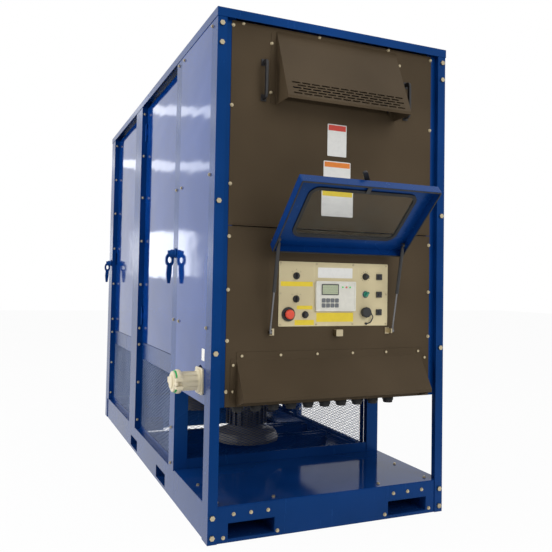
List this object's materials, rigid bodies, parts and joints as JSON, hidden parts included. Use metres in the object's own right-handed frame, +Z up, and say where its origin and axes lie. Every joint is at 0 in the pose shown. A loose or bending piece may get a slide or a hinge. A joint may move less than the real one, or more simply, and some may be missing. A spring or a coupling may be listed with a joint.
{
  "type": "generator load bank",
  "caption": "Skid-based generator load bank: control bay with hinged window, cable connectors, two fan and resistor bays with side doors, roof exhaust and fork pockets.",
  "frame": {"origin": "middle of the base's underside, on the floor, halfway between the roof cap's front and back and its two sides", "axes": "+X to the right along the front, +Y from the control front to the back, +Z up"},
  "size_m": [1.3535, 3.0279, 2.134],
  "materials": {
    "blue_paint": "gloss powder coat",
    "grey_paint": "fine-textured powder coat",
    "cream_paint": "satin",
    "black_plastic": "moulded",
    "rubber": "extruded",
    "glass": "clear",
    "zinc": "zinc plated",
    "steel": "bare",
    "galvanised": "galvanised",
    "motor_paint": "satin",
    "aluminium": "cast",
    "tan_cast": "cast, painted",
    "white_plastic": "moulded",
    "red_plastic": "moulded",
    "green_plastic": "moulded",
    "gear_plastic": "moulded"
  },
  "bodies": {
    "cabinet": {"base_end_rails": "blue_paint", "base_side_rails": "blue_paint", "underframe": "blue_paint", "deck_plate": "blue_paint", "corner_posts": "blue_paint", "side_posts": "blue_paint", "roof_cap": "blue_paint", "exhaust_grilles": "galvanised", "front_panel_upper": "grey_paint", "front_panel_lower": "grey_paint", "panel_handles": "black_plastic", "vent_hood": "grey_paint", "vent_screen": "grey_paint", "connector_hood": "grey_paint", "connector_plate": "grey_paint", "cable_connectors": "black_plastic", "side_panels": "blue_paint", "inlet_body": "tan_cast", "control_plate": "cream_paint", "controller_body": "white_plastic", "control_bezels": "black_plastic", "pendant_connector": "black_plastic", "door_fittings": "zinc", "post_bolts": "zinc", "bulkhead": "blue_paint", "fan_deck": "galvanised", "fan_motors": "motor_paint", "resistor_racks": "galvanised", "resistor_elements": "steel", "contactor_panel": "gear_plastic", "rear_panel": "blue_paint", "intake_panels": "blue_paint"},
    "control_door": {"control_door": "blue_paint", "door_rubber": "rubber", "window_pane": "glass"},
    "door_latch": {"door_latch": "black_plastic"},
    "strut_cylinder_left": {"strut_cylinder_left": "black_plastic"},
    "strut_rod_left": {"strut_rod_left": "steel"},
    "strut_cylinder_right": {"strut_cylinder_right": "black_plastic"},
    "strut_rod_right": {"strut_rod_right": "steel"},
    "bay_door_right_front": {"bay_door_right_front": "blue_paint"},
    "door_lever_right_front": {"door_lever_right_front": "blue_paint"},
    "bay_door_right_rear": {"bay_door_right_rear": "blue_paint"},
    "door_lever_right_rear": {"door_lever_right_rear": "blue_paint"},
    "bay_door_left_front": {"bay_door_left_front": "blue_paint"},
    "door_lever_left_front": {"door_lever_left_front": "blue_paint"},
    "bay_door_left_rear": {"bay_door_left_rear": "blue_paint"},
    "door_lever_left_rear": {"door_lever_left_rear": "blue_paint"},
    "fan_rotor_front": {"fan_rotor_front": "aluminium"},
    "fan_rotor_rear": {"fan_rotor_rear": "aluminium"},
    "selector_upper": {"selector_upper": "black_plastic"},
    "selector_lower": {"selector_lower": "black_plastic"},
    "test_knob": {"test_knob": "black_plastic"},
    "power_selector": {"power_selector": "green_plastic"},
    "stop_head": {"stop_head": "red_plastic"},
    "push_button": {"push_button": "black_plastic"},
    "breaker_button_1": {"breaker_button_1": "black_plastic"},
    "breaker_button_2": {"breaker_button_2": "black_plastic"},
    "breaker_button_3": {"breaker_button_3": "black_plastic"},
    "inlet_cap": {"inlet_cap": "tan_cast"}
  },
  "joints": [
    {"name": "control_door_hinge", "type": "hinge", "parent": "cabinet", "child": "control_door", "pos_m": [-0.015, -1.37, 1.178], "axis": [1, 0, 0], "range_deg": [0, 132]},
    {"name": "door_latch_turn", "type": "hinge", "parent": "control_door", "child": "door_latch", "pos_m": [-0.015, -1.63151, 1.41212], "axis": [0, 0.6691, 0.7431], "range_deg": [0, 90]},
    {"name": "strut_pivot_left", "type": "hinge", "parent": "control_door", "child": "strut_cylinder_left", "pos_m": [-0.308, -1.42797, 1.20328], "axis": [1, 0, 0], "range_deg": [-144.18, 0.5]},
    {"name": "strut_slide_left", "type": "slide", "parent": "strut_cylinder_left", "child": "strut_rod_left", "axis": [0, 0.2024, -0.9793], "range_m": [-0.09376, 0.0005]},
    {"name": "strut_pivot_right", "type": "hinge", "parent": "control_door", "child": "strut_cylinder_right", "pos_m": [0.278, -1.42797, 1.20328], "axis": [1, 0, 0], "range_deg": [-144.18, 0.5]},
    {"name": "strut_slide_right", "type": "slide", "parent": "strut_cylinder_right", "child": "strut_rod_right", "axis": [0, 0.2024, -0.9793], "range_m": [-0.09376, 0.0005]},
    {"name": "bay_door_right_front_hinge", "type": "hinge", "parent": "cabinet", "child": "bay_door_right_front", "pos_m": [0.5317, 0.1625, 1.38], "axis": [0, 0, 1], "range_deg": [0, 90]},
    {"name": "door_lever_right_front_turn", "type": "hinge", "parent": "cabinet", "child": "door_lever_right_front", "pos_m": [0.5567, -0.74, 1.165], "axis": [1, 0, 0], "range_deg": [-90, 0]},
    {"name": "bay_door_right_rear_hinge", "type": "hinge", "parent": "cabinet", "child": "bay_door_right_rear", "pos_m": [0.5317, 0.3625, 1.38], "axis": [0, 0, 1], "range_deg": [-90, 0]},
    {"name": "door_lever_right_rear_turn", "type": "hinge", "parent": "cabinet", "child": "door_lever_right_rear", "pos_m": [0.5567, 1.252, 1.165], "axis": [1, 0, 0], "range_deg": [0, 90]},
    {"name": "bay_door_left_front_hinge", "type": "hinge", "parent": "cabinet", "child": "bay_door_left_front", "pos_m": [-0.5317, 0.1625, 1.38], "axis": [0, 0, 1], "range_deg": [-90, 0]},
    {"name": "door_lever_left_front_turn", "type": "hinge", "parent": "cabinet", "child": "door_lever_left_front", "pos_m": [-0.5567, -0.74, 1.165], "axis": [1, 0, 0], "range_deg": [-90, 0]},
    {"name": "bay_door_left_rear_hinge", "type": "hinge", "parent": "cabinet", "child": "bay_door_left_rear", "pos_m": [-0.5317, 0.3625, 1.38], "axis": [0, 0, 1], "range_deg": [0, 90]},
    {"name": "door_lever_left_rear_turn", "type": "hinge", "parent": "cabinet", "child": "door_lever_left_rear", "pos_m": [-0.5567, 1.252, 1.165], "axis": [1, 0, 0], "range_deg": [0, 90]},
    {"name": "fan_rotor_front_spin", "type": "hinge", "parent": "cabinet", "child": "fan_rotor_front", "pos_m": [0, -0.263, 0.595], "axis": [0, 0, 1], "continuous": true},
    {"name": "fan_rotor_rear_spin", "type": "hinge", "parent": "cabinet", "child": "fan_rotor_rear", "pos_m": [0, 0.782, 0.595], "axis": [0, 0, 1], "continuous": true},
    {"name": "selector_upper_turn", "type": "hinge", "parent": "cabinet", "child": "selector_upper", "pos_m": [-0.185, -1.3303, 1.06], "axis": [0, -1, 0], "range_deg": [-45, 45]},
    {"name": "selector_lower_turn", "type": "hinge", "parent": "cabinet", "child": "selector_lower", "pos_m": [-0.185, -1.3303, 0.963], "axis": [0, -1, 0], "range_deg": [-45, 45]},
    {"name": "test_knob_turn", "type": "hinge", "parent": "cabinet", "child": "test_knob", "pos_m": [0.149, -1.3303, 1.063], "axis": [0, -1, 0], "range_deg": [-135, 135]},
    {"name": "power_selector_turn", "type": "hinge", "parent": "cabinet", "child": "power_selector", "pos_m": [0.149, -1.3303, 0.985], "axis": [0, -1, 0], "range_deg": [-80, 0]},
    {"name": "stop_head_press", "type": "slide", "parent": "cabinet", "child": "stop_head", "axis": [0, 1, 0], "range_m": [0, 0.005], "stiffness_N_per_m": 800},
    {"name": "push_button_press", "type": "slide", "parent": "cabinet", "child": "push_button", "axis": [0, 1, 0], "range_m": [0, 0.004], "stiffness_N_per_m": 300},
    {"name": "breaker_button_1_press", "type": "slide", "parent": "cabinet", "child": "breaker_button_1", "axis": [0, 1, 0], "range_m": [0, 0.003], "stiffness_N_per_m": 400},
    {"name": "breaker_button_2_press", "type": "slide", "parent": "cabinet", "child": "breaker_button_2", "axis": [0, 1, 0], "range_m": [0, 0.003], "stiffness_N_per_m": 400},
    {"name": "breaker_button_3_press", "type": "slide", "parent": "cabinet", "child": "breaker_button_3", "axis": [0, 1, 0], "range_m": [0, 0.003], "stiffness_N_per_m": 400},
    {"name": "inlet_cap_hinge", "type": "hinge", "parent": "cabinet", "child": "inlet_cap", "pos_m": [-0.673, -1.277, 0.64], "axis": [0, 0, 1], "range_deg": [0, 100], "stiffness_Nm_per_rad": 0.2, "springref_deg": -17.19}
  ],
  "couplings": [
    {"joint": "strut_pivot_left", "follows": "control_door_hinge", "ratio": -1.0885},
    {"joint": "strut_slide_left", "follows": "control_door_hinge", "m_per_rad": -0.040479},
    {"joint": "strut_pivot_right", "follows": "control_door_hinge", "ratio": -1.0885},
    {"joint": "strut_slide_right", "follows": "control_door_hinge", "m_per_rad": -0.040479}
  ]
}
